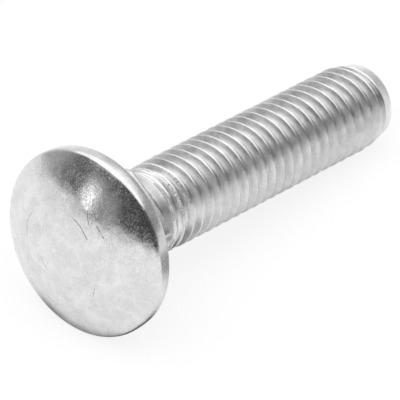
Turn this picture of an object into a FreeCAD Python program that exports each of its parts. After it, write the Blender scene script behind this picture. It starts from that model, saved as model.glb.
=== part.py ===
import FreeCAD, Part
import math
import os

# Carriage bolt, half inch, 13 threads to the inch, two and a quarter inches long.
# It is cold headed and thread rolled from one steel blank: a low round head, a square
# neck under it, and a shank that is threaded from the neck to the tip.
# The shank is drawn as the thread's envelope, at the diameter over its crests.
# The bolt is drawn upright, tip up the Z axis, with the head's bearing face at zero, and
# is then laid down as it comes to rest: on the head's rim and the thread's end.
# All lengths are in millimetres and all angles in degrees.

# Head
head_diameter = 26.6
head_height = 6.6
rim_height = 1.9        # from the bearing face to where the rim starts to round over
rim_round = 0.8         # between the rim and the crown
bearing_round = 1.0     # between the rim and the bearing face

# Square neck
neck_width = 12.7
neck_length = 6.8
neck_corner = 2.1       # radius of the four long corners
neck_bevel = 0.3        # round the neck's lower end
neck_fillet = 0.4       # where the neck grows out of the bearing face
neck_turn = 39.0        # how far the square is turned about the bolt's axis

# Shank
length = 57.15          # from the bearing face to the tip
thread_diameter = 12.5  # over the crests
blank_diameter = 11.9   # plain stretch between neck and thread, as before rolling
blank_length = 2.0
rise_length = 2.6       # over which the thread rises out of the blank
point_diameter = 10.9
point_length = 4.6      # tapered end of the thread
point_bevel = 0.4       # round the end face

overlap = 1.0           # how far the neck and shank start inside what carries them

centre = FreeCAD.Vector(0, 0, 0)
upright = FreeCAD.Vector(0, 0, 1)
sideways = FreeCAD.Vector(0, 1, 0)


def point(radius, z):
    """Point of an outline that is turned about the bolt's axis."""
    return FreeCAD.Vector(radius, 0, z)


def line(start, end):
    return Part.makeLine(point(*start), point(*end))


def arc(middle, radius, start, end):
    """Arc round a middle, between two angles measured from outwards towards the tip."""
    angles = [math.radians(a) for a in (start, (start + end) / 2, end)]
    ends = [point(middle[0] + radius * math.cos(a), middle[1] + radius * math.sin(a)) for a in angles]
    return Part.Arc(*ends).toShape()


def turned(edges):
    """Solid of revolution from the edges of one closed outline."""
    return Part.Face(Part.Wire(edges)).revolve(centre, upright, 360)


def head():
    """Crown of one arc, tangent to the arc that rounds the rim."""
    radius = head_diameter / 2
    rim = (radius - rim_round, -rim_height)
    bearing = (radius - bearing_round, -bearing_round)
    rise = head_height - rim_height
    crown_radius = (rim[0] ** 2 + rise ** 2 - rim_round ** 2) / (2 * (rise - rim_round))
    crown = (0, crown_radius - head_height)
    meeting = math.degrees(math.atan2(rim[1] - crown[1], rim[0]))
    return turned([
        line((0, 0), (bearing[0], 0)),
        arc(bearing, bearing_round, 90, 0),
        line((radius, bearing[1]), (radius, rim[1])),
        arc(rim, rim_round, 0, meeting),
        arc(crown, crown_radius, meeting, -90),
        line((0, -head_height), (0, 0)),
    ])


def neck():
    """Square with rounded corners and a bevel round its lower end."""
    corner = FreeCAD.Vector(-neck_width / 2, -neck_width / 2, -overlap)
    block = Part.makeBox(neck_width, neck_width, neck_length + overlap, corner)
    upright_edges = [e for e in block.Edges if e.BoundBox.ZLength > neck_length]
    block = block.makeFillet(neck_corner, upright_edges)
    lower_edges = [e for e in block.Edges if e.BoundBox.ZMin > neck_length - overlap / 2]
    block = block.makeChamfer(neck_bevel, lower_edges)
    block.rotate(centre, upright, neck_turn)
    return block


def shank():
    """Plain stretch, rise to the full thread, the thread's crests and the pointed end."""
    outline = [
        (0, neck_length - overlap),
        (blank_diameter / 2, neck_length - overlap),
        (blank_diameter / 2, neck_length + blank_length),
        (thread_diameter / 2, neck_length + blank_length + rise_length),
        (thread_diameter / 2, length - point_length),
        (point_diameter / 2, length - point_bevel),
        (point_diameter / 2 - point_bevel, length),
        (0, length),
    ]
    return turned([line(a, b) for a, b in zip(outline, outline[1:] + outline[:1])])


def with_neck_fillet(bolt):
    """Round the inner corner between the neck's sides and the bearing face."""
    reach = (math.hypot(neck_width, neck_width) / 2 + head_diameter / 2 - bearing_round) / 2
    corner_edges = [
        e for e in bolt.Edges
        if abs(e.BoundBox.ZMin) < 1e-6 and abs(e.BoundBox.ZMax) < 1e-6 and e.BoundBox.XMax < reach
    ]
    return bolt.makeFillet(neck_fillet, corner_edges)


def lying_slope():
    """Angle between the axis and the floor that touches the rim's round and the thread's end."""
    drop = head_diameter / 2 - bearing_round - thread_diameter / 2
    span = length - point_length + bearing_round
    return math.degrees(math.atan2(drop, span) + math.asin(bearing_round / math.hypot(span, drop)))


def laid_down(bolt):
    """Turn the bolt on its side with its tip towards +X, and centre it on the floor."""
    bolt.rotate(centre, sideways, 90 + lying_slope())
    box = bolt.optimalBoundingBox(True)
    bolt.translate(FreeCAD.Vector(-box.Center.x, -box.Center.y, -box.ZMin))
    return bolt


def carriage_bolt():
    bolt = head().fuse([neck(), shank()]).removeSplitter()
    return laid_down(with_neck_fillet(bolt))


def save(name, shape):
    shape.exportStep(os.path.join("parts", name + ".step"))
    print(name, "valid:", shape.isValid(), "solids:", len(shape.Solids), "mm3:", round(shape.Volume, 1))


os.makedirs("parts", exist_ok=True)
save("carriage_bolt", carriage_bolt())
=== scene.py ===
import math

import bmesh
import bpy
from mathutils import Matrix, Vector, noise


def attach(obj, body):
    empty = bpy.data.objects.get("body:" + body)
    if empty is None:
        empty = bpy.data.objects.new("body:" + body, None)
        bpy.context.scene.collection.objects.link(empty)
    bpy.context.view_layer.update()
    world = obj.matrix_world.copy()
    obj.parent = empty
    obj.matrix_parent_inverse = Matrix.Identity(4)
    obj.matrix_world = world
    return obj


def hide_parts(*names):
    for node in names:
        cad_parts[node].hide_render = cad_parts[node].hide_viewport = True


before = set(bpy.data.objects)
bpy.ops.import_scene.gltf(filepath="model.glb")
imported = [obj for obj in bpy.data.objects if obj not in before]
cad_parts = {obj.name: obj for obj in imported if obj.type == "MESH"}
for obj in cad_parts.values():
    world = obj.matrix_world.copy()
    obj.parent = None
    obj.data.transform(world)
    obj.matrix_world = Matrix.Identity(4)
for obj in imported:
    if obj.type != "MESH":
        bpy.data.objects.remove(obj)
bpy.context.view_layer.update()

mm = 0.001

# How the bolt lies. Its shape is worked out upright, tip up the Z axis and the head's
# bearing face at zero, in millimetres, and is then laid down where the source has it.
lie = {
    "slope": 7.509,                             # degrees, down towards the tip
    "bearing": (-25.291, 0.0, 13.064),          # where the bearing face's centre is
    "turn": 39.0,                               # degrees, the square about the axis
    "facing": -133.27,                          # the side that faces the camera
    "columns": 144,                             # faces round the bolt
}


def laidDown():
    tilt = math.radians(lie["slope"])
    across = Vector((-math.sin(tilt), 0.0, -math.cos(tilt)))
    along = Vector((math.cos(tilt), 0.0, -math.sin(tilt)))
    turned = Matrix((across, Vector((0.0, 1.0, 0.0)), along)).transposed()
    return Matrix.Translation(Vector(lie["bearing"]) * mm) @ turned.to_4x4()


def columnAngle(column):
    return math.radians(lie["turn"]) + 2 * math.pi * column / lie["columns"]


def wiring(tree):
    # short ways to add, feed and work out values in a node tree
    def feed(socket, value):
        if isinstance(value, bpy.types.NodeSocket):
            tree.links.new(value, socket)
        else:
            socket.default_value = value

    def add(kind, inputs=None, **settings):
        node = tree.nodes.new(kind)
        for name, value in settings.items():
            setattr(node, name, value)
        for name, value in (inputs or {}).items():
            feed(node.inputs[name], value)
        return node

    def calc(operation, *values):
        node = add("ShaderNodeMath", operation=operation)
        for socket, value in zip(node.inputs, values):
            feed(socket, value)
        return node.outputs[0]

    def ramp(value, low, high, start=0.0, end=1.0):
        given = {"Value": value, "From Min": low, "From Max": high, "To Min": start, "To Max": end}
        return add("ShaderNodeMapRange", given, interpolation_type="SMOOTHSTEP").outputs["Result"]

    return add, feed, calc, ramp


# The threaded shank
thread = {
    "Start": 9.0,             # from the bearing face to where the rolled thread begins
    "End": 56.75,             # where the bevel of the end face begins
    "Pitch": 1.93,            # as counted in the photo
    "Crest Radius": 6.22,
    "Depth": 1.12,
    "Root Round": 0.16,       # how softly the flanks meet the root
    "Crest Share": 0.03,      # of the pitch, flat on the crest
    "Crest Round": 0.08,      # how softly the flanks meet the crest
    "First Groove": 9.98,     # where the groove crosses the side that faces the camera
    "Rise": 4.2,              # over which the thread reaches its full depth
    "Rise Round": 0.04,       # how softly the first shallow groove begins
    "Start Radius": 6.12,
    "Start Depth": 0.3,       # share of the depth where the thread begins
    "Lap Depth": 0.25,        # between the two lips of the crests of the first turns
    "Point Length": 4.2,
    "Point Radius": 5.42,     # which the taper heads for at the tip
    "End Round": 0.04,        # taken off beyond the taper at the very end
    "Crest Wear": 0.07,
    "Wear Scale": 0.35,
    "Torn Depth": 0.22,       # of the crests of the first two turns
    "Torn Until": 1.8,        # past the start, where the crests begin to heal
    "Torn Gone": 4.0,         # and where they are whole
    "Chip Scale": 1.7,
    "Lip Place": 0.43,        # of the pitch, from the groove's middle to the torn lip
    "Seed": 3.0,
}
rowsPerPitch = 18
rowCrowding = 0.45            # 0 for even rows, towards 1 for rows that crowd at crest and root


def grooveAtStart():
    # share of a turn from the side that faces the camera to the grid's first column
    return ((math.degrees(columnAngle(0)) - lie["facing"]) % 360.0) / 360.0


def threadTree(material):
    tree = bpy.data.node_groups.new("rolledThread", "GeometryNodeTree")
    face = tree.interface
    face.new_socket("Geometry", in_out="INPUT", socket_type="NodeSocketGeometry")
    for name in [*thread, "Start Angle", "Groove Turn"]:
        face.new_socket(name, in_out="INPUT", socket_type="NodeSocketFloat")
    for name in ("Columns", "Rows", "Rows Per Pitch"):
        face.new_socket(name, in_out="INPUT", socket_type="NodeSocketInt")
    face.new_socket("Geometry", in_out="OUTPUT", socket_type="NodeSocketGeometry")
    add, _, calc, ramp = wiring(tree)
    given = add("NodeGroupInput").outputs
    start, end, pitch = given["Start"], given["End"], given["Pitch"]

    def grain(place, scale, detail, seed):      # noise about zero, from -1 to 1 or so
        inputs = {"Vector": place, "Scale": scale, "Detail": detail, "W": seed}
        field = add("ShaderNodeTexNoise", inputs, noise_dimensions="4D").outputs[0]
        return calc("MULTIPLY", calc("SUBTRACT", field, 0.5), 3.0)

    # a flat grid: one side goes round the bolt, the other up the helix
    counts = {"Vertices X": calc("ADD", given["Columns"], 1), "Vertices Y": given["Rows"]}
    grid = add("GeometryNodeMeshGrid", counts)
    flat = add("ShaderNodeSeparateXYZ", {0: add("GeometryNodeInputPosition").outputs[0]})
    around = calc("ADD", flat.outputs[0], 0.5)
    row = calc("MULTIPLY", calc("ADD", flat.outputs[1], 0.5), calc("SUBTRACT", given["Rows"], 1))
    angle = calc("MULTIPLY_ADD", around, 2 * math.pi, given["Start Angle"])

    # rows stand closer on the crest and in the root than on the flanks
    turns = calc("DIVIDE", row, given["Rows Per Pitch"])
    wave = calc("SINE", calc("MULTIPLY", turns, 4 * math.pi))
    crowd = calc("MULTIPLY", wave, rowCrowding / (4 * math.pi))
    lead = calc("ADD", calc("SUBTRACT", turns, crowd), calc("SUBTRACT", around, 1.0))
    first = calc("MULTIPLY_ADD", pitch, given["Groove Turn"], given["First Groove"])
    wholeTurns = calc("CEIL", calc("DIVIDE", calc("SUBTRACT", first, start), pitch))
    base = calc("SUBTRACT", first, calc("MULTIPLY", wholeTurns, pitch))
    height = calc("MINIMUM", calc("MAXIMUM", calc("MULTIPLY_ADD", lead, pitch, base), start), end)

    # the groove, by the distance from its middle as a share of the pitch
    phase = calc("SUBTRACT", calc("DIVIDE", calc("SUBTRACT", height, first), pitch), around)
    offset = calc("ABSOLUTE", calc("WRAP", phase, 0.5, -0.5))
    shoulder = calc("SUBTRACT", 0.5, calc("MULTIPLY", given["Crest Share"], 0.5))
    flank = calc("MULTIPLY", calc("MULTIPLY", calc("SUBTRACT", shoulder, offset), pitch), math.sqrt(3))

    # the envelope rises out of the plain stretch and tapers to the point, where the groove runs out
    risen = ramp(height, start, calc("ADD", start, given["Rise"]))
    swell = calc("MULTIPLY", calc("SUBTRACT", given["Crest Radius"], given["Start Radius"]), risen)
    crest = calc("ADD", given["Start Radius"], swell)
    missing = calc("MULTIPLY", calc("SUBTRACT", 1.0, given["Start Depth"]), calc("SUBTRACT", 1.0, risen))
    full = calc("SMOOTH_MIN", flank, given["Depth"], given["Root Round"])
    cut = calc("SUBTRACT", full, calc("MULTIPLY", missing, given["Depth"]))
    cut = calc("SMOOTH_MAX", cut, 0.0, given["Rise Round"])
    pointFrom = calc("SUBTRACT", end, given["Point Length"])
    down = calc("MAXIMUM", calc("SUBTRACT", height, pointFrom), 0.0)
    down = calc("DIVIDE", down, given["Point Length"])
    taper = calc("SUBTRACT", given["Crest Radius"], given["Point Radius"])
    taper = calc("MULTIPLY", taper, ramp(down, 0.0, 1.1))
    taper = calc("MULTIPLY_ADD", calc("POWER", down, 4.0), given["End Round"], taper)
    cut = calc("MULTIPLY", cut, ramp(down, 0.95, 0.35))
    grooved, tapered = calc("SUBTRACT", crest, cut), calc("SUBTRACT", crest, taper)
    bare = calc("SMOOTH_MIN", grooved, tapered, given["Crest Round"])

    def placed(radius):
        x = calc("MULTIPLY", radius, calc("COSINE", angle))
        y = calc("MULTIPLY", radius, calc("SINE", angle))
        return add("ShaderNodeCombineXYZ", {0: x, 1: y, 2: height}).outputs[0]

    # worn crests, and the torn crests of the first two turns
    spot = placed(bare)
    high = ramp(offset, 0.30, 0.42)
    worn = calc("MULTIPLY", grain(spot, given["Wear Scale"], 2.0, given["Seed"]), given["Crest Wear"])
    worn = calc("MULTIPLY", worn, high)
    healed = ramp(height, calc("ADD", start, given["Torn Until"]), calc("ADD", start, given["Torn Gone"]))
    early = calc("SUBTRACT", 1.0, healed)
    fromLip = calc("ABSOLUTE", calc("SUBTRACT", offset, given["Lip Place"]))
    onLip = calc("SUBTRACT", 1.0, ramp(fromLip, 0.02, 0.11))
    chips = grain(spot, given["Chip Scale"], 3.0, calc("ADD", given["Seed"], 5.0))
    torn = calc("MULTIPLY", calc("ADD", 0.45, chips), given["Torn Depth"])
    torn = calc("MULTIPLY", calc("MULTIPLY", calc("MAXIMUM", torn, 0.0), early), onLip)
    lap = calc("MULTIPLY", calc("MULTIPLY", early, ramp(offset, 0.37, 0.49)), given["Lap Depth"])
    radius = calc("SUBTRACT", calc("SUBTRACT", bare, calc("ABSOLUTE", worn)), calc("ADD", torn, lap))

    inMetres = add("ShaderNodeVectorMath", {0: placed(radius), "Scale": mm}, operation="SCALE").outputs[0]
    moved = add("GeometryNodeSetPosition", {"Geometry": grid.outputs["Mesh"], "Position": inMetres})
    welded = add("GeometryNodeMergeByDistance", {"Geometry": moved.outputs[0], "Distance": 1e-6})
    real = add("GeometryNodeRealizeInstances", {"Geometry": welded.outputs[0]})
    finished = add("GeometryNodeSetMaterial", {"Geometry": real.outputs[0], "Material": material})
    add("NodeGroupOutput", {0: finished.outputs[0]})
    return tree


def rolledThread(material):
    spareTurns = 3.0      # so that the grid covers the thread all round
    turns = math.ceil((thread["End"] - thread["Start"]) / thread["Pitch"] + spareTurns)
    given = {
        **thread,
        "Start Angle": columnAngle(0),
        "Groove Turn": grooveAtStart(),
        "Columns": lie["columns"],
        "Rows": turns * rowsPerPitch + 1,
        "Rows Per Pitch": rowsPerPitch,
    }
    holder = bpy.data.objects.new("threadGrid", bpy.data.meshes.new("threadGrid"))
    bpy.context.scene.collection.objects.link(holder)
    tree = threadTree(material)
    modifier = holder.modifiers.new("thread", "NODES")
    modifier.node_group = tree
    for item in tree.interface.items_tree:
        if item.in_out == "INPUT" and item.name in given:
            modifier[item.identifier] = given[item.name]
    bpy.context.view_layer.update()
    mesh = bpy.data.meshes.new_from_object(holder.evaluated_get(bpy.context.evaluated_depsgraph_get()))
    holder.modifiers.remove(modifier)
    bpy.data.objects.remove(holder)
    print("thread:", len(mesh.vertices), "vertices,", len(mesh.polygons), "faces")
    return mesh


# The head, the square neck and the plain stretch up to the thread
head = {
    "radius": 13.285,
    "height": 6.6,
    "rimHeight": 1.9,
    "rimRound": 0.8,
    "rearLean": 8.0,        # degrees that the rim turns in by, towards the bearing face
    "bearingRound": 0.6,
    "dieCentre": (-0.25, 0.15),
    # radius, width and depth of the die's marks
    "dieRings": ((5.25, 0.30, 0.016), (7.35, 0.45, 0.012)),
    "dents": 0.035,         # how deep the shallow dents in the crown are
    "dentMargin": 3.0,      # from the rim in, where the dents reach their full depth
}
neck = {
    "width": 12.7,
    "length": 6.8,
    "corner": 2.1,
    "bevel": 0.3,
    "fillet": 0.4,
    "bulge": 0.26,        # how far the sides' middles stand out from their edges
}
# rings of the plain stretch: height and radius
collar = (
    (6.84, 5.78), (6.98, 5.78), (7.1, 5.91), (7.3, 5.97), (7.8, 6.0),
    (8.3, 6.01), (8.6, 6.05), (8.8, 6.1), (8.92, 6.06),
)
# rings of the end face: how far in from the thread's end, and height
endFace = ((0.15, 56.93), (0.45, 57.1), (0.7, 57.13), (2.2, 57.12), (3.4, 57.02), (4.4, 56.95))


def squareRadius(angle, grow):
    half = neck["width"] / 2 + grow
    corner = neck["corner"] + grow
    inner = half - corner
    turn = abs((angle - math.radians(lie["turn"]) + math.pi / 4) % (math.pi / 2) - math.pi / 4)
    across = math.tan(turn) * half / inner
    drop = neck["bulge"] * min(1.0, across) ** 2
    if across <= 1.0:
        return (half - drop) / math.cos(turn)
    along = inner * (math.cos(turn) + math.sin(turn))
    return along + math.sqrt(corner ** 2 - 2 * inner ** 2 + along ** 2) - drop / math.cos(turn)


def dented(radius, angle, height):
    # the crown isn't smooth: rings left by the die, and shallow dents
    x, y = radius * math.cos(angle), radius * math.sin(angle)
    fromDie = math.hypot(x - head["dieCentre"][0], y - head["dieCentre"][1])
    depth = sum(
        deep / (1.0 + math.exp((fromDie - middle) / (width * 0.25)))
        for middle, width, deep in head["dieRings"]
    )
    spot = Vector((x, y, 4.0))
    shallow = noise.noise(spot * 0.22) + 0.5 * noise.noise(spot * 0.55 + Vector((7, 3, 1)))
    fade = min(1.0, max(0.0, (head["radius"] - radius) / head["dentMargin"]))
    return height + depth + abs(shallow) * head["dents"] * fade


def headStations():
    # rings from the apex to the thread: kind, height, and radius or what stands for it
    radius, bearing = head["radius"], head["bearingRound"]
    rim = (radius - head["rimRound"], -head["rimHeight"])
    rise = head["height"] - head["rimHeight"]
    crownRadius = (rim[0] ** 2 + rise ** 2 - head["rimRound"] ** 2) / (2 * (rise - head["rimRound"]))
    crownMiddle = crownRadius - head["height"]
    edge = math.atan2(rim[0], crownMiddle - rim[1])
    for step in range(1, 49):
        a = edge * step / 48
        yield "crown", crownMiddle - crownRadius * math.cos(a), crownRadius * math.sin(a)
    for step in range(1, 11):
        a = edge + (math.pi / 2 - edge) * step / 10
        yield "round", rim[1] - head["rimRound"] * math.cos(a), rim[0] + head["rimRound"] * math.sin(a)
    lean = math.radians(head["rearLean"])
    barrel = (head["rimHeight"] - bearing * (1.0 - math.sin(lean))) / math.sin(lean)
    for step in range(1, 6):
        a = lean * step / 5
        yield "round", barrel * math.sin(a) - head["rimHeight"], radius - barrel * (1.0 - math.cos(a))
    outer = radius - barrel * (1.0 - math.cos(lean)) - bearing * math.cos(lean)
    for step in range(1, 9):
        a = lean + (math.pi / 2 - lean) * step / 8
        yield "round", -bearing + bearing * math.sin(a), outer + bearing * math.cos(a)
    for share in (0.04, 0.25, 0.5, 0.75, 0.94, 1.0):
        yield "bearing", 0.0, share
    for step in range(1, 5):
        a = math.pi / 2 * step / 4
        yield "square", neck["fillet"] * (1 - math.cos(a)), neck["fillet"] * (1 - math.sin(a))
    for height in (0.6, 2.4, 4.4, neck["length"] - neck["bevel"] - 0.12):
        yield "square", height, 0.0
    for step in range(4):
        a = math.pi / 2 * step / 3
        yield "square", neck["length"] - neck["bevel"] * (1 - math.sin(a)), -neck["bevel"] * (1 - math.cos(a))
    yield "shoulder", neck["length"], 0.5
    for height, size in collar:
        yield "round", height, size


def headRings(shape):
    foot = collar[0][1]
    for kind, height, size in headStations():
        ring = []
        if kind == "round":
            outer = size
        for column in range(lie["columns"]):
            angle = columnAngle(column)
            reach, level = size, height
            if kind == "crown":
                level = dented(size, angle, height)
            elif kind == "bearing":
                reach = outer + (squareRadius(angle, neck["fillet"]) - outer) * size
            elif kind == "square":
                reach = squareRadius(angle, size)
            elif kind == "shoulder":
                reach = foot + (squareRadius(angle, -neck["bevel"]) - foot) * size
            place = (reach * math.cos(angle) * mm, reach * math.sin(angle) * mm, level * mm)
            ring.append(shape.verts.new(place))
        yield ring


def bridge(shape, lower, upper):
    for i in range(len(lower)):
        j = (i + 1) % len(lower)
        shape.faces.new((lower[i], lower[j], upper[j], upper[i]))


def close(shape, ring, middle):
    for i, vertex in enumerate(ring):
        shape.faces.new((vertex, ring[(i + 1) % len(ring)], middle))


def openRing(shape, height):
    # the thread's open edge at a height, in the order of its columns
    ring = {v for e in shape.edges if e.is_boundary for v in e.verts if abs(v.co.z - height * mm) < 2e-7}
    return sorted(ring, key=lambda v: (math.atan2(v.co.y, v.co.x) - columnAngle(0) + 1e-4) % (2 * math.pi))


def boltMesh(material):
    shape = bmesh.new()
    shape.from_mesh(rolledThread(material))
    bmesh.ops.dissolve_degenerate(shape, dist=1e-7, edges=shape.edges[:])
    bmesh.ops.delete(shape, geom=[e for e in shape.edges if not e.link_faces], context="EDGES")
    bottom = openRing(shape, thread["Start"])
    top = openRing(shape, thread["End"])

    rings = list(headRings(shape))
    close(shape, rings[0][::-1], shape.verts.new((0.0, 0.0, dented(0.0, 0.0, -head["height"]) * mm)))
    for lower, upper in zip(rings, rings[1:] + [bottom]):
        bridge(shape, lower, upper)

    previous = top
    for inward, height in endFace:
        ring = []
        for v in top:
            share = 1.0 - inward * mm / v.co.xy.length
            ring.append(shape.verts.new((v.co.x * share, v.co.y * share, height * mm)))
        bridge(shape, previous, ring)
        previous = ring
    close(shape, previous, shape.verts.new((0.0, 0.0, endFace[-1][1] * mm)))

    bmesh.ops.recalc_face_normals(shape, faces=shape.faces[:])
    bmesh.ops.transform(shape, matrix=laidDown(), verts=shape.verts[:])
    unclosed = sum(1 for e in shape.edges if not e.is_manifold)
    print("bolt:", len(shape.verts), "vertices,", len(shape.faces), "faces,", unclosed, "open edges")
    mesh = bpy.data.meshes.new("carriageBolt")
    shape.to_mesh(mesh)
    shape.free()
    mesh.materials.clear()
    mesh.materials.append(material)
    mesh.polygons.foreach_set("material_index", [0] * len(mesh.polygons))
    mesh.polygons.foreach_set("use_smooth", [True] * len(mesh.polygons))
    mesh.update()
    return mesh


# Bright zinc plating: a mirror with a fine grain on the head and neck, duller and paler on the thread
zinc = {
    "colour": 0.73,
    "threadColour": 0.88,
    "rootShadeColour": 0.84,     # painted shade in the very bottom of the grooves
    "collarShade": 0.14,    # how much darker the plain stretch is
    "seamShade": 0.55,           # painted shade: how much darker the corner between neck and collar is
    "nickShade": 0.45,      # how much darker the nicks in the crown are
    "ringShade": 0.07,      # and the die's rings
    "roughness": 0.17,
    "threadRoughness": 0.355,
    "specks": 0.2,          # how much rougher the fine specks are
    "grain": 0.006,         # depths of the surface's unevenness, in millimetres
    "peel": 0.014,
    "waves": 0.05,
    "nick": 0.012,
    "torn": 0.34,           # on the lips of the first turns
    # where the finish changes along the axis, from and to, in millimetres from the bearing face
    "crown": (-1.6, -2.4),
    "shank": (6.6, 7.6),
    "collarStart": (6.9, 7.2),
    "collarEnd": (9.1, 8.5),
    "thread": (8.0, 9.4),
    "tornStart": (8.9, 9.3),
    "tornEnd": (13.6, 11.4),
    "root": (5.32, 5.14),   # from the axis, where the painted shade in the bottom of the grooves begins
}
# nicks on the crown, each a run of points at a distance from the axis and an angle about it
nicks = (
    ((5.7, 184), (5.4, 202), (5.0, 223)),
    ((7.3, 217), (7.3, 231)),
    ((7.5, 200), (6.7, 207), (6.34, 214), (7.0, 211)),
    ((5.97, 295), (6.27, 306), (6.8, 314)),
    ((7.4, 84), (7.7, 100), (7.5, 116)),
    ((4.7, 38), (4.75, 62)),
)


def onCrownPlane(radius, degrees):
    # a nick's point, seen along the axis
    turn = math.radians(degrees)
    return Vector((radius * math.cos(turn), radius * math.sin(turn), 0.0))


def zincPlating():
    material = bpy.data.materials.new("brightZinc")
    material.use_nodes = True
    tree = material.node_tree
    add, feed, calc, ramp = wiring(tree)
    shader = tree.nodes["Principled BSDF"]
    shader.inputs["Metallic"].default_value = 1.0

    # the bolt's own frame, in millimetres, its axis along Z
    seat = laidDown()
    given = {"Vector": add("ShaderNodeTexCoord").outputs["Object"]}
    local = add("ShaderNodeMapping", given, vector_type="TEXTURE")
    local.inputs["Location"].default_value = seat.to_translation()
    local.inputs["Rotation"].default_value = seat.to_euler("XYZ")
    local.inputs["Scale"].default_value = (mm, mm, mm)
    place = local.outputs[0]
    parts = add("ShaderNodeSeparateXYZ", {0: place}).outputs
    fromAxis = calc("SQRT", calc("MULTIPLY_ADD", parts[0], parts[0], calc("MULTIPLY", parts[1], parts[1])))

    def patches(scale, detail=2.0, roughness=0.5):
        inputs = {"Vector": place, "Scale": scale, "Detail": detail, "Roughness": roughness}
        return add("ShaderNodeTexNoise", inputs).outputs[0]

    # nicks in the crown, and faint rings that the heading die left
    onCrown = ramp(parts[2], *zinc["crown"])
    flat = add("ShaderNodeCombineXYZ", {0: parts[0], 1: parts[1]}).outputs[0]

    def fromStroke(start, end):
        a, b = onCrownPlane(*start), onCrownPlane(*end)
        offset = add("ShaderNodeVectorMath", {0: flat, 1: a}, operation="SUBTRACT").outputs[0]
        along = (b - a) / (b - a).length_squared
        reach = add("ShaderNodeVectorMath", {0: offset, 1: along}, operation="DOT_PRODUCT")
        share = add("ShaderNodeClamp", {0: reach.outputs["Value"]}).outputs[0]
        nearest = add("ShaderNodeVectorMath", {0: b - a, "Scale": share}, operation="SCALE").outputs[0]
        return add("ShaderNodeVectorMath", {0: offset, 1: nearest}, operation="DISTANCE").outputs["Value"]

    fromNick = 99.0
    for run in nicks:
        for start, end in zip(run, run[1:]):
            fromNick = calc("MINIMUM", fromNick, fromStroke(start, end))
    nicked = ramp(fromNick, 0.11, 0.02)
    nicked = calc("MULTIPLY", nicked, calc("MULTIPLY", onCrown, ramp(patches(1.6, 2.0), 0.35, 0.5)))
    centre = (*head["dieCentre"], 0.0)
    fromDie = add("ShaderNodeVectorMath", {0: flat, 1: centre}, operation="DISTANCE").outputs["Value"]
    ringed = calc("MULTIPLY", onCrown, ramp(patches(0.5, 2.0), 0.44, 0.6))
    onRing = 0.0
    for radius, width, _ in head["dieRings"]:
        fromRing = calc("ABSOLUTE", calc("SUBTRACT", fromDie, radius))
        onRing = calc("MAXIMUM", onRing, ramp(fromRing, width, 0.0))
    ringed = calc("MULTIPLY", ringed, onRing)

    # the torn lips of the first turns, roughest on the side that faces the camera
    onThread = ramp(parts[2], *zinc["thread"])
    inRootShade = calc("MULTIPLY", onThread, ramp(fromAxis, *zinc["root"]))
    turns = calc("DIVIDE", calc("SUBTRACT", parts[2], thread["First Groove"]), thread["Pitch"])
    turned = calc("SUBTRACT", calc("ARCTAN2", parts[1], parts[0]), math.radians(lie["facing"]))
    around = calc("DIVIDE", turned, 2 * math.pi)
    fromGroove = calc("ABSOLUTE", calc("WRAP", calc("SUBTRACT", turns, around), 0.5, -0.5))
    tornTurns = calc("MULTIPLY", ramp(parts[2], *zinc["tornStart"]), ramp(parts[2], *zinc["tornEnd"]))
    tornTurns = calc("MULTIPLY", tornTurns, ramp(fromGroove, 0.24, 0.34))
    fromFacing = calc("ABSOLUTE", calc("WRAP", around, 0.5, -0.5))
    tornTurns = calc("MULTIPLY", tornTurns, ramp(fromFacing, 0.12, 0.05, 0.2, 1.0))

    # the tone: by place first, with painted shade in the bottom of the grooves, then patchy, then the marks,
    # then painted shade in the corner between neck and collar
    onCollar = calc("MULTIPLY", ramp(parts[2], *zinc["collarStart"]), ramp(parts[2], *zinc["collarEnd"]))
    tone = calc("MULTIPLY_ADD", onCollar, -zinc["collarShade"], zinc["colour"])
    tone = calc("MULTIPLY_ADD", onThread, zinc["threadColour"] - zinc["colour"], tone)
    # painted shade in the bottom of the grooves
    tone = calc("MULTIPLY_ADD", inRootShade, zinc["rootShadeColour"] - zinc["threadColour"], tone)
    tone = calc("MULTIPLY", tone, ramp(patches(0.4, 5.0), 0.36, 0.64, 0.95, 1.04))
    tone = calc("MULTIPLY", tone, ramp(patches(0.75, 4.0, 0.6), 0.49, 0.54, 0.975, 1.02))
    tone = calc("MULTIPLY", tone, ramp(patches(2.6, 3.0), 0.34, 0.66, 0.97, 1.03))
    marks = calc("MULTIPLY_ADD", ringed, -zinc["ringShade"], 1.0)
    marks = calc("MULTIPLY_ADD", nicked, -zinc["nickShade"], marks)
    tone = calc("MULTIPLY", tone, marks)
    # painted shade in the corner between neck and collar, in patches
    fromSeam = calc("ABSOLUTE", calc("SUBTRACT", parts[2], neck["length"] + 0.28))
    inSeamShade = calc("MULTIPLY", ramp(fromSeam, 0.26, 0.08), ramp(patches(1.2, 2.0), 0.3, 0.5))
    tone = calc("MULTIPLY", tone, calc("MULTIPLY_ADD", inSeamShade, -zinc["seamShade"], 1.0))
    colour = add("ShaderNodeCombineColor", {"Red": tone, "Green": tone, "Blue": tone})
    feed(shader.inputs["Base Color"], colour.outputs[0])

    onShank = ramp(parts[2], *zinc["shank"])
    dull = calc("MULTIPLY_ADD", onShank, zinc["threadRoughness"] - zinc["roughness"], zinc["roughness"])
    specks = ramp(patches(5.0, 3.0, 0.75), 0.42, 0.7, -0.05, zinc["specks"])
    specks = calc("MULTIPLY", specks, calc("MULTIPLY_ADD", onThread, -0.7, 1.0))
    dull = calc("ADD", calc("ADD", dull, specks), ramp(patches(0.9, 4.0), 0.35, 0.65, -0.03, 0.06))
    feed(shader.inputs["Roughness"], calc("MULTIPLY_ADD", tornTurns, -0.1, dull))

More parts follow.
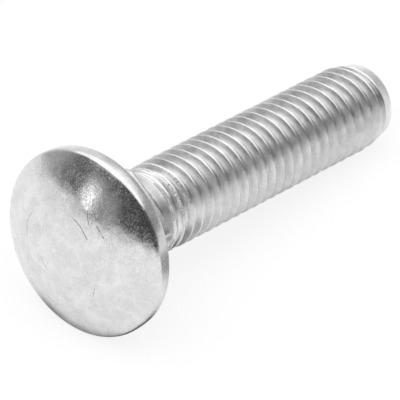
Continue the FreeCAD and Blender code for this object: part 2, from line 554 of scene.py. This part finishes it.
    height = calc("MULTIPLY", patches(3.8, 3.0, 0.65), zinc["grain"] * mm)
    chipped = calc("MULTIPLY", tornTurns, patches(2.6, 3.0, 0.6))
    height = calc("MULTIPLY_ADD", chipped, zinc["torn"] * mm, height)
    height = calc("MULTIPLY_ADD", patches(1.1, 2.0), zinc["peel"] * mm, height)
    height = calc("MULTIPLY_ADD", patches(0.3, 1.0), zinc["waves"] * mm, height)
    height = calc("MULTIPLY_ADD", nicked, -zinc["nick"] * mm, height)
    bump = add("ShaderNodeBump", {"Height": height, "Distance": 1.0, "Strength": 1.0})
    feed(shader.inputs["Normal"], bump.outputs[0])
    return material


# The studio: a white sweep under and behind the bolt, a dark room behind the camera; the room is a painted
# reflection on a dome that only reflections see
studio = {
    "floor": 0.94,
    "floorSize": 6.0,
    "sideShade": 0.62,          # painted shadow: how much darker the metal finds the floor beside the thread
    "underShade": 0.85,         # and close under the bolt
    "shadow": 0.15,             # how much of the floor's own shade shows
    "reflectedShadow": 0.85,    # and how much of it the metal shows
    "roomSize": 1.4,
    "overhead": 1.42,           # strength of the light from above, against a white of 1
    "overheadFrom": (25.0, 50.0),   # elevations between which it sets in
    "sweep": 1.0,
    "lowEdge": (3.0, 3.5),      # degrees of blur below and above the dark side's lower edge
    "highEdge": 5.0,            # and to both sides of its upper edge
    "lamp": 11.5,
    "lampPlace": (-0.35, -0.15, 1.15),
    "lampSize": 1.2,
    "worldLight": 0.55,         # what the white world gives things, against a seen white of 1
}
# the painted shadow that the metal finds on the floor, which only reflections see, as ramps in metres from
# the bolt's middle: from and to, and the values there where they aren't 0 and 1
paintedFloorShade = {
    "besideNear": (0.004, -0.030),      # across the bolt
    "besideFar": (-0.06, -0.11, 1.0, 0.75),
    "besideHead": (-0.018, -0.004),     # along the bolt
    "besideTip": (0.008, 0.04, 1.0, 0.3),
    "underWidth": (-0.024, -0.012, 0.010, 0.0045),
    "underMiddle": (-0.024, -0.012, -0.002, 0.0035),
    "underEdge": (0.003, -0.003),
    "underHead": (-0.0308, -0.0284),
}
# glowing cards in the room that only reflections see, a painted highlight, its halo and a painted pale wall:
# name, strength, azimuth and elevation from and to, share of the room's size
cards = (
    ("paintedPaleWall", 0.3, (165, 182, 11, 28), 0.97),
    ("paintedHighlightHalo", 0.42, (148, 164.5, 9, 30), 0.96),
    ("paintedHighlight", 2.1, (153.5, 160, 10, 24), 0.95),
)
# the painted reflection of the room's side: azimuth in degrees, how bright it is there, and its lowest and
# highest elevation
room = (
    (60, 0.88, 4, 34), (75, 0.74, 4, 34), (89, 0.60, 4, 36), (104, 0.48, 4, 39), (112, 0.44, 4, 43),
    (120, 0.37, 4, 44), (130, 0.20, 9, 44), (138, 0.10, 11, 43), (146, 0.14, 10, 42), (154, 0.15, 6, 42),
    (163, 0.12, 5, 42), (172, 0.10, 6, 46), (181, 0.08, 8, 56), (188, 0.07, 7, 60), (198, 0.06, 3, 61),
    (210, 0.06, 1, 62), (240, 0.06, 2, 62), (262, 0.08, 2, 58), (280, 0.11, 3, 50), (297, 0.15, 3, 43),
    (308, 0.23, 3, 39), (318, 0.31, 3, 34), (331, 0.38, 3, 32), (340, 0.42, 3, 33), (348, 0.42, 3, 35),
    (358, 0.42, 3, 32), (370, 0.44, 3, 31), (384, 0.64, 3, 33), (395, 0.88, 4, 34), (420, 0.88, 4, 34),
)


def seenDirectly(add, calc, reflected=1.0):
    # 1 for what the camera or glass sees, 0 for light that falls on things
    path = add("ShaderNodeLightPath").outputs
    mirrored = calc("MULTIPLY", path["Is Glossy Ray"], reflected)
    return calc("MAXIMUM", calc("MAXIMUM", path["Is Camera Ray"], mirrored), path["Is Transmission Ray"])


def placeMesh(name, points, faces, material):
    mesh = bpy.data.meshes.new(name)
    mesh.from_pydata(points, [], faces)
    mesh.materials.append(material)
    obj = bpy.data.objects.new(name, mesh)
    bpy.context.scene.collection.objects.link(obj)
    return obj


def bareMaterial(name):
    material = bpy.data.materials.new(name)
    material.use_nodes = True
    tree = material.node_tree
    tree.nodes.remove(tree.nodes["Principled BSDF"])
    return material, tree, tree.nodes["Material Output"].inputs["Surface"]


def paleFloor():
    material, tree, surface = bareMaterial("paleFloor")
    add, feed, calc, ramp = wiring(tree)
    x, y, _ = add("ShaderNodeSeparateXYZ", {0: add("ShaderNodeTexCoord").outputs["Object"]}).outputs
    mirror = add("ShaderNodeLightPath").outputs["Is Glossy Ray"]

    def shade(value, name):
        return ramp(value, *paintedFloorShade[name])

    # painted shadow, which only reflections see: the metal finds the table darker on the thread's side, and
    # darkest close under the bolt
    beside = calc("MULTIPLY", shade(y, "besideNear"), shade(y, "besideFar"))
    alongside = calc("MULTIPLY", shade(x, "besideHead"), shade(x, "besideTip"))
    beside = calc("MULTIPLY", beside, alongside)
    width, middle = shade(x, "underWidth"), shade(x, "underMiddle")
    fromMiddle = calc("SUBTRACT", calc("ABSOLUTE", calc("SUBTRACT", y, middle)), width)
    under = calc("MULTIPLY", shade(fromMiddle, "underEdge"), shade(x, "underHead"))
    beside = calc("MULTIPLY_ADD", calc("MULTIPLY", beside, mirror), -studio["sideShade"], 1.0)
    under = calc("MULTIPLY_ADD", calc("MULTIPLY", under, mirror), -studio["underShade"], 1.0)
    level = calc("MULTIPLY", beside, under)

    grey = {name: calc("MULTIPLY", level, studio["floor"]) for name in ("Red", "Green", "Blue")}
    tint = add("ShaderNodeCombineColor", grey)
    shaded = add("ShaderNodeBsdfDiffuse", {"Color": tint.outputs[0]})
    white = add("ShaderNodeEmission", {"Strength": level})
    mirrored = (1.0 - studio["reflectedShadow"]) / (1.0 - studio["shadow"])
    share = calc("MULTIPLY", seenDirectly(add, calc, mirrored), 1.0 - studio["shadow"])
    mixed = add("ShaderNodeMixShader", {0: share, 1: shaded.outputs[0], 2: white.outputs[0]})
    feed(surface, mixed.outputs[0])
    half = studio["floorSize"] / 2
    corners = [(-half, -half, 0), (half, -half, 0), (half, half, 0), (-half, half, 0)]
    placeMesh("floor", corners, [(0, 1, 2, 3)], material)


def colourRamp(add, value, stops):
    node = add("ShaderNodeValToRGB", {0: value})
    points = node.color_ramp.elements
    while len(points) < len(stops):
        points.new(0.5)
    for point, (where, level) in zip(points, stops):
        point.position = where
        point.color = (level, level, level, 1.0)
    return node.outputs[0]


def paintedRoom():
    # a dome that only reflections see, with its painted brightness by direction
    material, tree, surface = bareMaterial("room")
    add, feed, calc, ramp = wiring(tree)
    place = add("ShaderNodeTexCoord").outputs["Object"]
    toward = add("ShaderNodeVectorMath", {0: place}, operation="NORMALIZE")
    x, y, z = add("ShaderNodeSeparateXYZ", {0: toward.outputs[0]}).outputs
    cut = room[0][0]
    turn = calc("DIVIDE", calc("ARCTAN2", y, x), 2 * math.pi)
    azimuth = calc("FRACT", calc("ADD", turn, 1.0 - cut / 360.0))
    elevation = calc("MULTIPLY", calc("ARCSINE", z), 180.0 / math.pi)

    def byAzimuth(column, scale):
        stops = [((row[0] - cut) / 360.0, row[column] / scale) for row in room]
        return calc("MULTIPLY", colourRamp(add, azimuth, stops), scale)

    lowest, highest = byAzimuth(2, 90.0), byAzimuth(3, 90.0)
    below, past = studio["lowEdge"]
    blur = studio["highEdge"]
    onSide = ramp(elevation, calc("SUBTRACT", lowest, below), calc("ADD", lowest, past))
    above = ramp(elevation, calc("SUBTRACT", highest, blur), calc("ADD", highest, blur))
    sky = ramp(elevation, *studio["overheadFrom"], studio["sweep"], studio["overhead"])
    side = calc("SUBTRACT", byAzimuth(1, 1.0), studio["sweep"])
    side = calc("MULTIPLY_ADD", onSide, side, studio["sweep"])
    strength = calc("MULTIPLY_ADD", above, calc("SUBTRACT", sky, side), side)
    feed(surface, add("ShaderNodeEmission", {"Strength": strength}).outputs[0])
    return material


def reflectedCard(name, material, span, distance, columns, rows):
    # a piece of a sphere round the bolt: azimuth from and to, elevation from and to
    fromAzimuth, toAzimuth, fromElevation, toElevation = [math.radians(value) for value in span]
    points, faces = [], []
    for i in range(columns + 1):
        a = fromAzimuth + (toAzimuth - fromAzimuth) * i / columns
        for j in range(rows + 1):
            e = fromElevation + (toElevation - fromElevation) * j / rows
            points.append((
                distance * math.cos(a) * math.cos(e),
                distance * math.sin(a) * math.cos(e),
                distance * math.sin(e),
            ))
            if i < columns and j < rows:
                k = i * (rows + 1) + j
                faces.append((k, k + 1, k + rows + 2, k + rows + 1))
    obj = placeMesh(name, points, faces, material)
    obj.visible_camera = False
    obj.visible_diffuse = False
    obj.visible_shadow = False
    obj.visible_transmission = False


def glowing(name, strength):
    material, tree, surface = bareMaterial(name)
    add, feed, _, _ = wiring(tree)
    feed(surface, add("ShaderNodeEmission", {"Strength": strength}).outputs[0])
    return material


def softLamp(name, place, size, power):
    light = bpy.data.lights.new(name, "AREA")
    light.energy = power
    light.size = size
    obj = bpy.data.objects.new(name, light)
    obj.location = place
    obj.rotation_euler = (Vector((0, 0, 0.01)) - Vector(place)).to_track_quat("-Z", "Y").to_euler()
    bpy.context.scene.collection.objects.link(obj)
    obj.visible_glossy = False
    obj.visible_camera = False


def whiteWorld():
    world = bpy.data.worlds.new("whiteRoom")
    bpy.context.scene.world = world
    world.use_nodes = True
    add, feed, calc, _ = wiring(world.node_tree)
    back = world.node_tree.nodes["Background"]
    back.inputs["Color"].default_value = (1, 1, 1, 1)
    light = studio["worldLight"]
    feed(back.inputs["Strength"], calc("MULTIPLY_ADD", seenDirectly(add, calc), 1.0 - light, light))


# The camera looks from the photograph's angle
view = {
    "place": (-0.443099, -0.373749, 0.420396),
    "azimuth": -49.6037,
    "elevation": 35.5957,
    "lens": 469.86,
}


def camera():
    azimuth, elevation = math.radians(view["azimuth"]), math.radians(view["elevation"])
    ahead = Vector((
        -math.sin(azimuth) * math.cos(elevation),
        math.cos(azimuth) * math.cos(elevation),
        -math.sin(elevation),
    ))
    right = Vector((math.cos(azimuth), math.sin(azimuth), 0.0))
    data = bpy.data.cameras.new("camera")
    data.lens = view["lens"]
    data.sensor_width = 36.0
    obj = bpy.data.objects.new("camera", data)
    turned = Matrix((right, right.cross(ahead), -ahead)).transposed()
    obj.matrix_world = Matrix.Translation(Vector(view["place"])) @ turned.to_4x4()
    bpy.context.scene.collection.objects.link(obj)
    bpy.context.scene.camera = obj


zincMaterial = zincPlating()
bolt = bpy.data.objects.new("carriageBolt", boltMesh(zincMaterial))
bpy.context.scene.collection.objects.link(bolt)
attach(bolt, "root")
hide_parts("carriage_bolt")
print("bolt placed")

paleFloor()
reflectedCard("room", paintedRoom(), (0, 360, 0, 90), studio["roomSize"], 48, 12)
for name, strength, span, share in cards:
    reflectedCard(name, glowing(name, strength), span, studio["roomSize"] * share, 4, 4)
softLamp("overhead", studio["lampPlace"], studio["lampSize"], studio["lamp"])
whiteWorld()
camera()
bpy.context.scene.view_settings.view_transform = "Standard"
print("studio placed")
